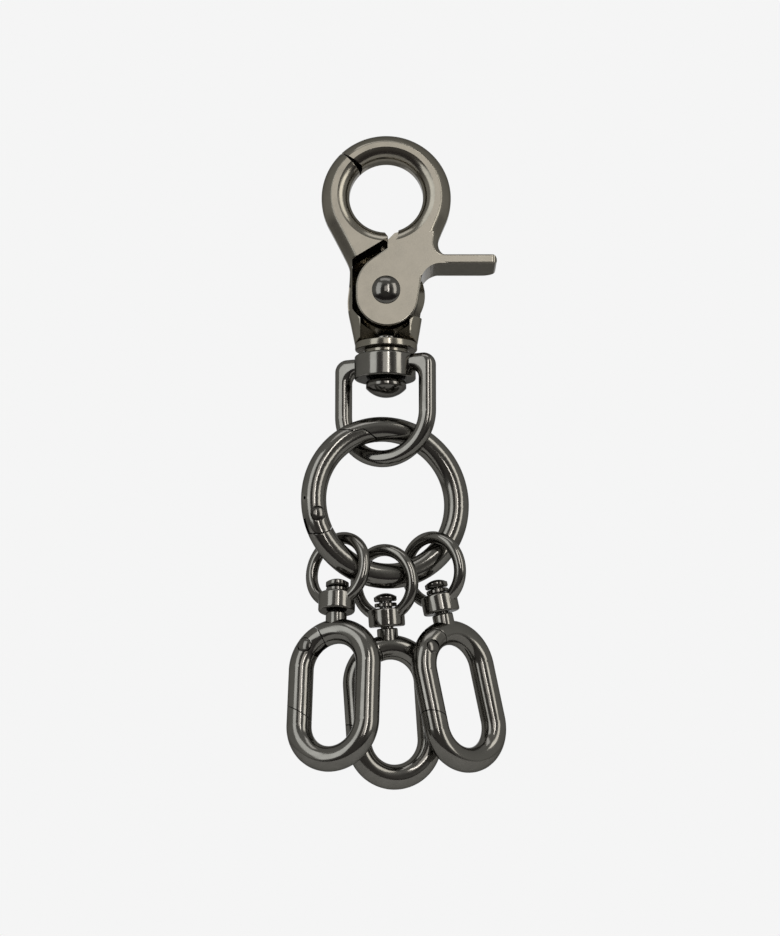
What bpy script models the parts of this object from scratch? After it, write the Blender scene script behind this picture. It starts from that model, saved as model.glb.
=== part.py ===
import bpy
import bmesh
from math import cos, degrees, pi, radians, sin, sqrt
from mathutils import Matrix, Vector

# A key ring that hangs from a trigger snap: the snap carries a swivelling D-shaped bail, the bail
# carries a large spring-gate ring, and that ring carries three small swivel carabiners.
# The origin is the point where the snap's eye hangs: the top of its hole, at mid depth.
# +X is to the right as seen from the front, +Y points away from the viewer, +Z is up.

# General clearances
running_gap = 0.0003       # between pieces that touch, turn or meet at a seam
flush_step = 0.00003       # between flat faces of one piece that would lie in one plane
cut_overrun = 0.0020       # how far a cutter runs past the surface that it opens
seam_angle_gap = 0.8       # half the seam at the mouth of the snap's eye, in degrees of the eye

# Steps of the round forms
eye_steps = 38
arm_steps = 34
hole_steps = 44
rim_steps = 3
disc_steps = 8
disc_room_steps = 16
pocket_steps = 21
plate_steps = 20
fillet_steps = 7
upper_fillet_steps = 6
shoulder_steps = 8
corner_steps = 4
bail_steps = 26
dome_steps = 5
ring_steps = 64
oval_steps = 16
link_steps = 40
hinge_steps = 14
tongue_steps = 9
spring_steps = 12          # for each turn of the coil
flange_steps = 40
pin_steps = 28
rod_steps = 26
small_steps = 18
bar_sides = 4              # level of roundness of the thick bars
link_sides = 2

# Trigger snap: eye and common thickness
eye_bore = 0.0155
eye_bar = 0.00585           # radial width of the eye's bar
snap_depth = 0.0076
outer_rounding = 0.0024
hole_rounding = 0.0022
eye_rise = 0.0205          # height of the eye's centre over the lever's pivot
hole_lift = 0.0002         # the hole sits this much over the middle of the eye
mouth_angle = 134.5        # where the lever's tip meets the body, in degrees from +X
web_corner = 0.0005        # how far the body's web reaches to the right of the pivot line

# Trigger snap: body
disc_radius = 0.0084      # back half-thickness disc that carries the lever
pocket_radius = 0.0080
pocket_flat = 0.0009       # the pocket's round is cut flat by this much on the left
pocket_mouth = -44.0       # the pocket opens to the right over this angle
wall_points = ((-0.0079, 0.0058), (-0.0077, 0.0034), (-0.0081, -0.0012), (-0.0080, -0.0036))
ear_points = ((0.0070, -0.0082), (0.00745, -0.0054))
web_slope_low = 0.0067      # the web's slanted edge, from the pocket's flat up to the eye
web_slope_high = 0.01142
flange_radius = 0.0065
flange_top = -0.0110
flange_bottom = -0.0122
flange_rounding = 0.0003
seat_radius = 0.0045       # boss under the flange, on which the bail's collar turns
seat_height = 0.0009
recess_left = -0.0054      # blind recess between the ears, over the flange
recess_right = 0.0049
recess_floor = -0.0101
recess_depth = 0.0068
window_top = 0.0015        # slot in the left wall for the spring's leg
window_bottom = -0.0040
window_front = -0.0018
window_back = -0.0004

# Trigger snap: lever
plate_round_centre = (0.0002, -0.0012)
plate_round_radius = 0.0065
plate_shoulder_centre = (0.0017, 0.0003)
plate_shoulder_radius = 0.00805
plate_rounding = 0.00035
web_rounding = 0.0008
plate_nose = ((0.0012, 0.0098), (0.0024, 0.0112), (0.0026, 0.0140))
tab_bottom = 0.00574
tab_thickness = 0.0019
tab_reach = 0.0231         # tip of the thumb tab, from the pivot line
tab_back = 0.0072
tab_front_corner = 0.0010
tab_back_corner = 0.0030
tab_rounding = 0.0004
under_fillet = 0.0042
upper_fillet = 0.0026
arm_edge = 0.0072          # right edge of the lever under the tab
arm_shoulder = 0.0099      # right edge of the lever's flat face over the tab
arm_flank = ((0.0129, 0.0163), (0.0125, 0.0149), (0.0118, 0.0130), (0.01105, 0.0112), (0.0109, 0.0100),
             (0.0113, 0.0090), (0.0122, 0.0082), (0.0132, 0.0078))

# Trigger snap: rivet and spring
rivet_radius = 0.0016
rivet_dome_radius = 0.00295
rivet_dome_height = 0.0012
rivet_back_radius = 0.0026
rivet_back_height = 0.0007
spring_recess_radius = 0.0045
spring_recess_front = -0.0024
spring_recess_back = 0.0012
spring_coil_radius = 0.0031
spring_wire = 0.0006
spring_turns = 2
spring_pitch = 0.0010
spring_leg = 0.0026
spring_groove = 0.0016

# Swivel pin and bail
pin_radius = 0.0020
pin_crown_radius = 0.0027  # peened crown in the recess
pin_crown_height = 0.0008
pin_head_radius = 0.0042
pin_head_side = 0.0015
pin_head_dome = 0.0019
collar_radius = 0.0064
collar_height = 0.0050
collar_rounding = 0.0004
bail_half_width = 0.0096    # from the pin to the middle of each leg
bail_bar = 0.0035
bail_rounding = 0.0013
bail_drop = 0.0120          # from the collar's top to the centre of the round end
bail_outer_corner = 0.0026
bail_inner_corner = 0.0017
bail_turn = -25.0          # right leg towards the viewer
bail_shift = -0.0002       # the bail hangs off the pin's axis, within its play
bail_play = 0.0005

# Large spring-gate ring
ring_radius = 0.0153       # to the middle of the bar
ring_bar = 0.0052
ring_shift = -0.0001       # the ring's middle, off the snap's middle line
ring_rest = 0.0018         # the bar leans on the bail's round sides, this high over its lowest point
ring_turn = 16.0           # left side towards the viewer

# Small swivel carabiners, measured down the post from the middle of the link ring
link_radius = 0.0068       # to the middle of the bar
link_bar = 0.0025
link_collar_radius = 0.00375
link_collar_top = 0.0052
link_collar_height = 0.0038
post_radius = 0.0013
post_head_radius = 0.0022
post_head_side = 0.0009
post_head_dome = 0.0008
post_reach = 0.0029        # length of the post inside the hook's neck
washer_radius = 0.0020
washer_thickness = 0.0008
neck_radius = 0.00215
neck_length = 0.0013       # free length of the neck over the hook
neck_chamfer = 0.0003
oval_half_width = 0.0075   # to the middle of the bar
oval_half_straight = 0.0057
oval_bar = 0.0051

# Clevis shared by every spring gate
tongue_half = 0.0006
tongue_radius = 0.0018
gate_rivet_radius = 0.0007
gate_rivet_head = 0.0014
gate_rivet_sink = 0.0007   # depth of the rivet's seat in the bar
gate_rivet_proud = 0.00005

# Gate of the large ring: points are (outside the middle of the bar, angle round the ring)
ring_pivot_angle = 192.5
ring_gate_reach = 0.0040       # rounded hinge end, from the rivet
ring_nose = ((0.00415, 130.0), (0.00027, 118.4), (-0.00004, 111.5), (-0.00358, 92.9))
ring_nose_side = (0.2, 0.98)
ring_gate_inner = (-0.00608, 192.5)
ring_gate_outer = ((0.00774, 192.5), (0.0117, 146.5))
ring_tongue_angle = 290.0
ring_tongue_length = 0.0055

# Gate of the small hooks: points are (outside the middle of the bar, angle round the oval's upper end),
# and those of the nose are (outside the middle of the bar, up from the lower end of the straight leg)
oval_pivot_angle = 141.4
oval_gate_reach = 0.0040
oval_nose = ((0.0050, 0.0050), (-0.0039, 0.0004))
oval_nose_side = (-0.46, -0.89)
oval_gate_inner = ((-0.0039, 178.5), (-0.00563, 139.6))
oval_gate_outer = (0.00957, 141.7)
oval_tongue_angle = 38.0
oval_tongue_length = 0.0052

# Where each carabiner hangs: the place of its link along the ring's bar, to the right of the lowest point,
# the way that the link leans off the bar, the share of its play that it uses, its lean to the side, its
# lean towards the viewer at the top, the turn of its link and the turn of its hook, in degrees
hangers = {
    "left": (-0.00921, (-0.611, 0.366, -0.702), 0.787, 1.5, -11.0, -37.0, -25.0),
    "middle": (-0.00013, (-0.105, 0.412, -0.906), 0.524, -3.8, 4.2, -32.8, 15.0),
    "right": (0.00935, (0.599, -0.484, -0.641), 0.749, -11.5, 0.0, -38.1, 37.0),
}

# Plated metals
metals = {
    "gunmetal": ((0.105, 0.100, 0.092), 0.20),
    "plate_metal": ((0.300, 0.288, 0.262), 0.26),
    "rivet_metal": ((0.060, 0.057, 0.054), 0.18),
    "spring_steel": ((0.420, 0.420, 0.410), 0.32),
}

PIVOT = Vector((0, 0, -(eye_bore / 2 + eye_rise + hole_lift)))


def clear_scene():
    for thing in list(bpy.data.objects):
        bpy.data.objects.remove(thing)
    for group in list(bpy.data.collections):
        bpy.data.collections.remove(group)


def new_collection(name):
    group = bpy.data.collections.new(name)
    bpy.context.scene.collection.children.link(group)
    return group


def metal(name):
    if name in bpy.data.materials:
        return bpy.data.materials[name]
    colour, roughness = metals[name]
    made = bpy.data.materials.new(name)
    made.use_nodes = True
    shader = made.node_tree.nodes["Principled BSDF"]
    shader.inputs["Base Color"].default_value = (*colour, 1)
    shader.inputs["Metallic"].default_value = 1
    shader.inputs["Roughness"].default_value = roughness
    return made


def add_object(name, mesh, group, parent=None, location=(0, 0, 0), rotation=(0, 0, 0)):
    made = bpy.data.objects.new(name, mesh)
    group.objects.link(made)
    made.location = location
    made.rotation_euler = rotation
    made.parent = parent
    return made


def add_piece(name, mesh, metal_name, parent=None, location=(0, 0, 0), rotation=(0, 0, 0)):
    made = add_object(name, mesh, parts, parent, location, rotation)
    mesh.materials.clear()
    mesh.materials.append(metal(metal_name))
    mesh.shade_smooth()
    mesh.set_sharp_from_angle(angle=radians(35))
    return made


def add_cutter(name, mesh, parent=None, location=(0, 0, 0), rotation=(0, 0, 0)):
    made = add_object(name, mesh, cutters, parent, location, rotation)
    made.hide_render = True
    made.display_type = "WIRE"
    return made


def combine(piece, operation, tool):
    step = piece.modifiers.new(operation.lower() + "_" + tool.name, "BOOLEAN")
    step.operation = operation
    step.solver = "EXACT"
    step.object = tool
    return step


def add_empty(name, parent=None, location=(0, 0, 0), rotation=(0, 0, 0)):
    made = add_object(name, None, parts, parent, location, rotation)
    made.empty_display_size = running_gap
    return made


# Outline helpers: points are (x, z) pairs
def arc(centre, radius, start, end, steps):
    points = []
    for step in range(steps + 1):
        angle = radians(start + (end - start) * step / steps)
        points.append((centre[0] + radius * cos(angle), centre[1] + radius * sin(angle)))
    return points


def polar(radius, angle):
    return (radius * cos(radians(angle)), radius * sin(radians(angle)))


# Mesh helpers
def curve_mesh(curve):
    holder = bpy.data.objects.new("outline", curve)
    bpy.context.scene.collection.objects.link(holder)
    evaluated = holder.evaluated_get(bpy.context.evaluated_depsgraph_get())
    mesh = bpy.data.meshes.new_from_object(evaluated)
    bpy.data.objects.remove(holder)
    form = bmesh.new()
    form.from_mesh(mesh)
    bmesh.ops.remove_doubles(form, verts=form.verts, dist=running_gap / 100)
    bmesh.ops.recalc_face_normals(form, faces=form.faces)
    form.to_mesh(mesh)
    form.free()
    return mesh


def plate_mesh(outlines, front, back, rounding=0.0, rounds=2, lies_flat=False):
    # A flat outline with thickness from front to back along Y, or along Z where it lies flat
    curve = bpy.data.curves.new("outline", "CURVE")
    curve.dimensions = "2D"
    curve.fill_mode = "BOTH"
    curve.extrude = (back - front) / 2 - rounding
    curve.bevel_depth = rounding
    curve.bevel_resolution = rounds
    curve.offset = -rounding
    for outline in outlines:
        spline = curve.splines.new("POLY")
        spline.points.add(len(outline) - 1)
        for point, (across, up) in zip(spline.points, outline):
            point.co = (across, up, 0, 1)
        spline.use_cyclic_u = True
    mesh = curve_mesh(curve)
    if lies_flat:
        mesh.transform(Matrix.Translation((0, 0, (front + back) / 2)))
    else:
        mesh.transform(Matrix.Translation((0, (front + back) / 2, 0)) @ Matrix.Rotation(pi / 2, 4, "X"))
    return mesh


def wire_mesh(points, radius, sides_level, closed=False):
    curve = bpy.data.curves.new("wire", "CURVE")
    curve.dimensions = "3D"
    curve.bevel_depth = radius
    curve.bevel_resolution = sides_level
    curve.use_fill_caps = True
    spline = curve.splines.new("POLY")
    spline.points.add(len(points) - 1)
    for point, place in zip(spline.points, points):
        point.co = (*place, 1)
    spline.use_cyclic_u = closed
    return curve_mesh(curve)


def turned_mesh(profile, steps, along_y=False):
    # The profile runs from the top to the bottom as (radius, height) pairs on the +X side
    mesh = bpy.data.meshes.new("turned")
    points = [(radius, 0, height) for radius, height in profile]
    mesh.from_pydata(points, [(n, n + 1) for n in range(len(points) - 1)], [])
    holder = bpy.data.objects.new("turned", mesh)
    bpy.context.scene.collection.objects.link(holder)
    screw = holder.modifiers.new("turn", "SCREW")
    screw.steps = steps
    screw.render_steps = steps
    screw.use_merge_vertices = True
    screw.merge_threshold = running_gap / 100
    evaluated = holder.evaluated_get(bpy.context.evaluated_depsgraph_get())
    made = bpy.data.meshes.new_from_object(evaluated)
    bpy.data.objects.remove(holder)
    form = bmesh.new()
    form.from_mesh(made)
    bmesh.ops.remove_doubles(form, verts=form.verts, dist=running_gap / 100)
    bmesh.ops.recalc_face_normals(form, faces=form.faces)
    form.to_mesh(made)
    form.free()
    if along_y:
        made.transform(Matrix.Rotation(pi / 2, 4, "X"))
    return made


def rod_mesh(radius, bottom, top, steps=rod_steps, along_y=False):
    return turned_mesh([(0, top), (radius, top), (radius, bottom), (0, bottom)], steps, along_y)


def dome(radius, height, base, steps=dome_steps):
    # Profile points of a shallow dome, from its crown down to its rim at base
    ball = (radius * radius + height * height) / (2 * height)
    points = []
    for step in range(steps + 1):
        across = radius * sin(pi / 2 * step / steps)
        points.append((across, base + height - ball + sqrt(ball * ball - across * across)))
    return points


# Trigger snap
eye_centre = (0, eye_rise)
eye_inner = eye_bore / 2
eye_outer = eye_inner + eye_bar
half_depth = snap_depth / 2
half_gap = running_gap / 2
seat_bottom = flange_bottom - seat_height


def make_hole_cutter():
    # The eye's hole with rounded rims
    profile = []
    for step in range(rim_steps + 1):
        angle = pi / 2 * step / rim_steps
        profile.append((eye_inner + hole_rounding * (1 - sin(angle)),
                        half_depth - hole_rounding * (1 - cos(angle))))
    lower = [(across, -height) for across, height in reversed(profile)]
    rim = profile[0][0]
    top = half_depth + cut_overrun
    outline = [(0, top), (rim, top)] + profile + lower + [(rim, -top), (0, -top)]
    return turned_mesh(outline, hole_steps, along_y=True)


def body_outline():
    left = arc(eye_centre, eye_outer, 318, 585, eye_steps)
    foot = [(-flange_radius, flange_top), (flange_radius, flange_top)]
    side = arc((0, 0), disc_radius, -27, 42, disc_steps)
    return left + list(wall_points) + foot + list(ear_points) + side


def make_snap_body(hole):
    body = add_piece("snap_body", plate_mesh([body_outline()], -half_depth, half_depth, outer_rounding, 2),
                     "plate_metal", location=PIVOT)
    reach = eye_outer + cut_overrun
    # Room of the lever through the whole thickness: right of the mouth, over the disc
    mouth = mouth_angle + seam_angle_gap
    seam_end = polar(reach + cut_overrun, mouth)
    room = [(0, eye_rise), (seam_end[0], seam_end[1] + eye_rise), (seam_end[0], eye_rise + reach),
            (reach + cut_overrun, eye_rise + reach), (reach + cut_overrun, 0)]
    room += arc((0, 0), disc_radius, 0, 86, disc_room_steps)
    room += [(web_corner, disc_radius), (web_corner, eye_rise - eye_inner)]
    # Pocket of the lever's plate in the front half
    pocket_left = pocket_radius - pocket_flat
    low = -sqrt(pocket_radius ** 2 - pocket_left ** 2)
    pocket = arc((0, 0), pocket_radius, pocket_mouth, -180, pocket_steps)
    pocket = [point for point in pocket if point[1] < low - running_gap and point[0] > -pocket_left]
    corner = web_corner + flush_step
    pocket += [(-pocket_left, low), (-pocket_left, web_slope_low), (corner, web_slope_high),
               (corner, eye_rise), (reach, eye_rise), (reach, polar(pocket_radius, pocket_mouth)[1])]
    recess_top = -pocket_radius / 2
    recess = [(recess_left, recess_floor), (recess_right, recess_floor),
              (recess_right, recess_top), (recess_left, recess_top)]
    flat = flange_radius - flange_rounding
    flange = [(0, flange_top + running_gap), (flat, flange_top + running_gap), (flange_radius, flange_top),
              (flange_radius, flange_bottom + flange_rounding), (flat, flange_bottom),
              (seat_radius, flange_bottom), (seat_radius, seat_bottom), (0, seat_bottom)]
    flange = turned_mesh(flange, flange_steps)
    combine(body, "UNION", add_cutter("flange_blank", flange, location=PIVOT))
    combine(body, "DIFFERENCE", hole)
    cut = add_cutter("lever_room", plate_mesh([room], -reach, reach), location=PIVOT)
    combine(body, "DIFFERENCE", cut)
    cut = add_cutter("plate_pocket", plate_mesh([pocket], -reach, half_gap), location=PIVOT)
    combine(body, "DIFFERENCE", cut)
    cut = add_cutter("ear_recess", plate_mesh([recess], -reach, recess_depth - half_depth), location=PIVOT)
    combine(body, "DIFFERENCE", cut)
    window = [(-reach, window_bottom), (-pocket_left + running_gap, window_bottom),
              (-pocket_left + running_gap, window_top), (-reach, window_top)]
    cut = add_cutter("leg_window", plate_mesh([window], window_front, window_back), location=PIVOT)
    combine(body, "DIFFERENCE", cut)
    groove_half = spring_groove / 2
    groove = [(-pocket_left + running_gap, -groove_half), (0, -groove_half),
              (0, groove_half), (-pocket_left + running_gap, groove_half)]
    groove_back = spring_recess_back - running_gap
    cut = add_cutter("leg_groove", plate_mesh([groove], -half_gap, groove_back), location=PIVOT)
    combine(body, "DIFFERENCE", cut)
    seat = rod_mesh(spring_recess_radius, -spring_recess_back, running_gap, rod_steps, True)
    combine(body, "DIFFERENCE", add_cutter("coil_seat", seat, location=PIVOT))
    bore = rod_mesh(rivet_radius + running_gap, -reach, reach, rod_steps, True)
    combine(body, "DIFFERENCE", add_cutter("body_bore", bore, location=PIVOT))
    bore = rod_mesh(pin_radius + running_gap, -reach, recess_floor + half_gap)
    combine(body, "DIFFERENCE", add_cutter("pin_bore", bore, location=PIVOT))
    return body


def lever_plate_outline():
    edge = arc(plate_round_centre, plate_round_radius, 180, 350, plate_steps)
    right = [(arm_edge, tab_bottom - under_fillet)]
    under = arc((arm_edge + under_fillet, tab_bottom - under_fillet), under_fillet, 170, 90, fillet_steps)
    top = tab_bottom + tab_thickness
    over = (arm_shoulder + upper_fillet, top + upper_fillet)
    over = arc(over, upper_fillet, 270, 180, upper_fillet_steps)
    crown = [(arm_shoulder + running_gap, eye_rise - eye_inner), (plate_nose[2][0], eye_rise - eye_inner)]
    shoulder = arc(plate_shoulder_centre, plate_shoulder_radius, 122, 176, shoulder_steps)
    nose = [plate_nose[1], plate_nose[0]]
    return edge + right + under + over + crown + nose + shoulder


def make_trigger_lever(hole):
    arm_blank = arc(eye_centre, eye_outer, -42, 200, arm_steps)
    arm_blank += [(plate_nose[0][0], tab_bottom + flush_step), (arm_shoulder, tab_bottom + flush_step)]
    lever = add_piece("trigger_lever", plate_mesh([arm_blank], -half_depth, half_depth, outer_rounding, 2),
                      "plate_metal", location=PIVOT)
    reach = eye_outer + cut_overrun
    # Room of the body: left of the mouth and of the web's corner
    mouth = mouth_angle - seam_angle_gap
    seam_end = polar(reach + cut_overrun, mouth)
    seam_top = seam_end[1] + eye_rise
    corner = web_corner + running_gap
    room = [(0, eye_rise), (seam_end[0], seam_top), (-reach - cut_overrun, seam_top),
            (-reach - cut_overrun, 0), (corner, 0), (corner, eye_rise - eye_inner)]
    combine(lever, "DIFFERENCE", add_cutter("body_room", plate_mesh([room], -reach, reach), location=PIVOT))
    notch = [(across + flush_step, up) for across, up in plate_nose]
    notch = [(-web_corner, notch[0][1])] + notch + [(-web_corner, notch[-1][1])]
    cut = add_cutter("nose_notch", plate_mesh([notch], -reach, -half_gap - flush_step), location=PIVOT)
    combine(lever, "DIFFERENCE", cut)
    top = tab_bottom + tab_thickness
    inset = 2 * flush_step
    web = [(arm_edge - inset, tab_bottom - under_fillet)]
    under = (arm_edge + under_fillet, tab_bottom - under_fillet)
    web += arc(under, under_fillet + inset, 170, 90, fillet_steps)
    web += [(arm_flank[-1][0], tab_bottom + inset)] + list(reversed(arm_flank))
    web += [(arm_shoulder - inset, arm_flank[0][1]), (arm_edge - inset, top + upper_fillet)]
    web = plate_mesh([web], plate_rounding - half_depth, half_depth - inset, web_rounding, 1)
    web = add_cutter("tab_web", web, location=PIVOT)
    combine(lever, "UNION", web)
    front = -half_depth + 2 * flush_step
    corner = (tab_reach - tab_front_corner, front + tab_front_corner)
    tab = arc(corner, tab_front_corner, -90, 0, corner_steps)
    corner = (tab_reach - tab_back_corner, tab_back - tab_back_corner)
    tab += arc(corner, tab_back_corner, 0, 90, corner_steps)
    tab += [(arm_edge + tab_back_corner, tab_back), (arm_edge + tab_thickness, half_depth),
            (arm_edge + tab_thickness, front)]
    tab = add_cutter("tab_blank", plate_mesh([tab], tab_bottom, top, tab_rounding, 1, True), location=PIVOT)
    combine(lever, "UNION", tab)
    clear = disc_radius + running_gap
    disc = rod_mesh(clear, -tab_back - cut_overrun, half_gap + flush_step, hole_steps, True)
    combine(lever, "DIFFERENCE", add_cutter("disc_room", disc, location=PIVOT))
    plate = plate_mesh([lever_plate_outline()], -half_depth + flush_step, -half_gap, plate_rounding, 1)
    combine(lever, "UNION", add_cutter("plate_blank", plate, location=PIVOT))
    combine(lever, "DIFFERENCE", hole)
    bore = rod_mesh(rivet_radius + running_gap, -reach, reach, rod_steps, True)
    combine(lever, "DIFFERENCE", add_cutter("lever_bore", bore, location=PIVOT))
    coil = rod_mesh(spring_recess_radius, -running_gap, -spring_recess_front, rod_steps, True)
    combine(lever, "DIFFERENCE", add_cutter("coil_room", coil, location=PIVOT))
    return lever


def make_lever_rivet():
    front = half_depth + running_gap
    profile = dome(rivet_dome_radius, rivet_dome_height, front)
    profile += [(rivet_radius, front), (rivet_radius, -front), (rivet_back_radius, -front),
                (rivet_back_radius - rivet_back_height / 2, -front - rivet_back_height),
                (0, -front - rivet_back_height)]
    add_piece("lever_rivet", turned_mesh(profile, pin_steps, True), "rivet_metal", location=PIVOT)


def make_lever_spring():
    # A torsion coil round the rivet: one leg lies in the lever, the other in the body's groove
    start = spring_recess_back / 2 - running_gap / 2
    points = [(-spring_coil_radius - spring_leg, start, 0)]
    for step in range(spring_turns * spring_steps + 1):
        turns = step / spring_steps
        angle = pi - 2 * pi * turns
        points.append((spring_coil_radius * cos(angle), start - spring_pitch * turns,
                       spring_coil_radius * sin(angle)))
    last = points[-1]
    points.append((last[0], last[1], last[2] + spring_leg / 2))
    add_piece("lever_spring", wire_mesh(points, spring_wire / 2, 1), "spring_steel", location=PIVOT)


# Swivel pin and bail
collar_top = seat_bottom - running_gap
collar_bottom = collar_top - collar_height


def make_swivel_pin():
    head_top = collar_bottom - running_gap
    crown_bottom = recess_floor + running_gap
    profile = [(0, crown_bottom + pin_crown_height), (pin_crown_radius - pin_crown_height / 2,
                                                      crown_bottom + pin_crown_height),
               (pin_crown_radius, crown_bottom), (pin_radius, crown_bottom), (pin_radius, head_top),
               (pin_head_radius - running_gap, head_top), (pin_head_radius, head_top - running_gap)]
    base = head_top - pin_head_side
    lower = dome(pin_head_radius, pin_head_dome, 0)
    profile += [(across, base - height) for across, height in reversed(lower)]
    add_piece("swivel_pin", turned_mesh(profile, pin_steps), "rivet_metal", location=PIVOT)


def make_swivel_bail():
    empty = add_empty("bail_turning_axis", location=PIVOT + Vector((bail_shift, 0, collar_top)),
                      rotation=(0, 0, radians(bail_turn)))
    outside = bail_half_width + bail_bar / 2
    inside = bail_half_width - bail_bar / 2
    outlines = []
    for half, corner, top in ((outside, bail_outer_corner, 0), (inside, bail_inner_corner, -bail_bar)):
        loop = arc((half - corner, top - corner), corner, 0, 90, corner_steps)
        loop += arc((corner - half, top - corner), corner, 90, 180, corner_steps)
        outlines.append(loop + arc((0, -bail_drop), half, 180, 360, bail_steps))
    mesh = plate_mesh(outlines, -bail_bar / 2, bail_bar / 2, bail_rounding, 1)
    bail = add_piece("swivel_bail", mesh, "gunmetal", parent=empty)
    barrel = [(0, 0), (collar_radius - collar_rounding, 0), (collar_radius, -collar_rounding),
              (collar_radius, collar_rounding - collar_height),
              (collar_radius - collar_rounding, -collar_height), (0, -collar_height)]
    combine(bail, "UNION", add_cutter("collar_blank", turned_mesh(barrel, flange_steps), parent=empty))
    bore = rod_mesh(pin_radius + bail_play, -collar_height - cut_overrun, cut_overrun)
    combine(bail, "DIFFERENCE", add_cutter("collar_bore", bore, parent=empty))


# Spring gates: the same clevis is used on the large ring and on the three hooks
def ring_gate_shape():
    def at(point):
        return polar(ring_radius + point[0], point[1])

    return {
        "pivot": at((0, ring_pivot_angle)),
        "reach": ring_gate_reach,
        "hinge_arc": (ring_pivot_angle + 180, ring_pivot_angle),
        "nose": [at(point) for point in ring_nose],
        "nose_side": ring_nose_side,
        "inner": [at(ring_gate_inner)],
        "outer": [at(point) for point in ring_gate_outer],
        "tongue_angle": ring_tongue_angle,
        "tongue_length": ring_tongue_length,
    }


def oval_gate_shape():
    def at(point):
        across, up = polar(oval_half_width + point[0], point[1])
        return (across, up + oval_half_straight)

    return {
        "pivot": at((0, oval_pivot_angle)),
        "reach": oval_gate_reach,
        "hinge_arc": (oval_pivot_angle - 180, oval_pivot_angle),
        "nose": [(-oval_half_width - out, up - oval_half_straight) for out, up in oval_nose],
        "nose_side": oval_nose_side,
        "inner": [at(point) for point in oval_gate_inner],
        "outer": [at(oval_gate_outer)],
        "tongue_angle": oval_tongue_angle,
        "tongue_length": oval_tongue_length,
    }


def gate_outline(shape, gap):
    # The gate's share of the closed bar: the stretch down to the nose seam and the round hinge end
    side = Vector(shape["nose_side"]).normalized() * gap
    nose = [(across + side.x, up + side.y) for across, up in shape["nose"]]
    start, end = shape["hinge_arc"]
    hinge = arc(shape["pivot"], shape["reach"] + gap, start, end, hinge_steps)
    return nose + shape["inner"] + hinge + shape["outer"]


def tongue_outline(shape, radius, length, spread):
    # A round end about the rivet, running back along the bar with the given spread to the sides
    angle = shape["tongue_angle"]
    along = polar(length, angle)
    aside = polar(spread, angle + 90)
    across, up = shape["pivot"]
    end = arc(shape["pivot"], radius, angle + 90, angle + 270, tongue_steps)
    return [(across + along[0] + aside[0], up + along[1] + aside[1]),
            (across + aside[0], up + aside[1])] + end + [
            (across - aside[0], up - aside[1]),
            (across + along[0] - aside[0], up + along[1] - aside[1])]


def make_gate(names, parent, tube, shape, bar):
    frame_name, gate_name, rivet_name = names
    half = bar / 2 + cut_overrun
    place = Vector((shape["pivot"][0], 0, shape["pivot"][1]))

    frame = add_piece(frame_name, tube.copy(), "gunmetal", parent=parent)
    room = plate_mesh([gate_outline(shape, running_gap)], -half, half)
    combine(frame, "DIFFERENCE", add_cutter(gate_name + "_room", room, parent))
    tongue = tongue_outline(shape, tongue_radius, shape["tongue_length"], tongue_radius)
    tongue = add_cutter(frame_name + "_tongue", plate_mesh([tongue], -tongue_half, tongue_half), parent)
    combine(frame, "UNION", tongue)
    bore = rod_mesh(gate_rivet_radius + running_gap, -half, half, small_steps, True)
    bore = add_cutter(gate_name + "_bore", bore, parent, place)
    combine(frame, "DIFFERENCE", bore)

    mesh = tube.copy()
    mesh.transform(Matrix.Translation(-place))
    gate = add_piece(gate_name, mesh, "gunmetal", parent=parent, location=place)
    keep = add_cutter(gate_name + "_share", plate_mesh([gate_outline(shape, 0)], -half, half), parent)
    combine(gate, "INTERSECT", keep)
    slot = tongue_outline(shape, tongue_radius + running_gap, bar, bar)
    slot_half = tongue_half + running_gap
    cut = add_cutter(gate_name + "_slot", plate_mesh([slot], -slot_half, slot_half), parent)
    combine(gate, "DIFFERENCE", cut)
    combine(gate, "DIFFERENCE", bore)
    seat = bar / 2 - gate_rivet_sink
    for side in (-1, 1):
        low, high = sorted((side * seat, side * half))
        cut = rod_mesh(gate_rivet_head + running_gap, -high, -low, small_steps, True)
        face = "_front_seat" if side < 0 else "_back_seat"
        combine(gate, "DIFFERENCE", add_cutter(gate_name + face, cut, parent, place))

    head = bar / 2 + gate_rivet_proud
    under = seat + running_gap
    profile = [(0, head), (gate_rivet_head, head), (gate_rivet_head, under), (gate_rivet_radius, under),
               (gate_rivet_radius, -under), (gate_rivet_head, -under), (gate_rivet_head, -head), (0, -head)]
    rivet = turned_mesh(profile, small_steps, True)
    add_piece(rivet_name, rivet, "rivet_metal", parent=parent, location=place)
    return frame


bail_lowest = PIVOT.z + collar_top - bail_drop - bail_half_width + bail_bar / 2
ring_place = Vector((ring_shift, 0, bail_lowest + ring_rest + ring_bar / 2 - ring_radius))


def make_large_ring():
    empty = add_empty("ring_axis", location=ring_place, rotation=(0, 0, radians(ring_turn)))
    points = [(across, 0, up) for across, up in arc((0, 0), ring_radius, 0, 360, ring_steps)[:-1]]
    tube = wire_mesh(points, ring_bar / 2, bar_sides, closed=True)
    make_gate(("ring_frame", "ring_gate", "ring_gate_rivet"), empty, tube, ring_gate_shape(), ring_bar)


# Small swivel carabiners, hung on the large ring
washer_bottom = -link_collar_top + running_gap
head_bottom = washer_bottom + washer_thickness + running_gap
link_collar_bottom = -link_collar_top - link_collar_height
neck_top = link_collar_bottom - running_gap
oval_top = neck_top - neck_length
oval_middle = oval_top - oval_bar / 2 - oval_half_width - oval_half_straight


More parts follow.
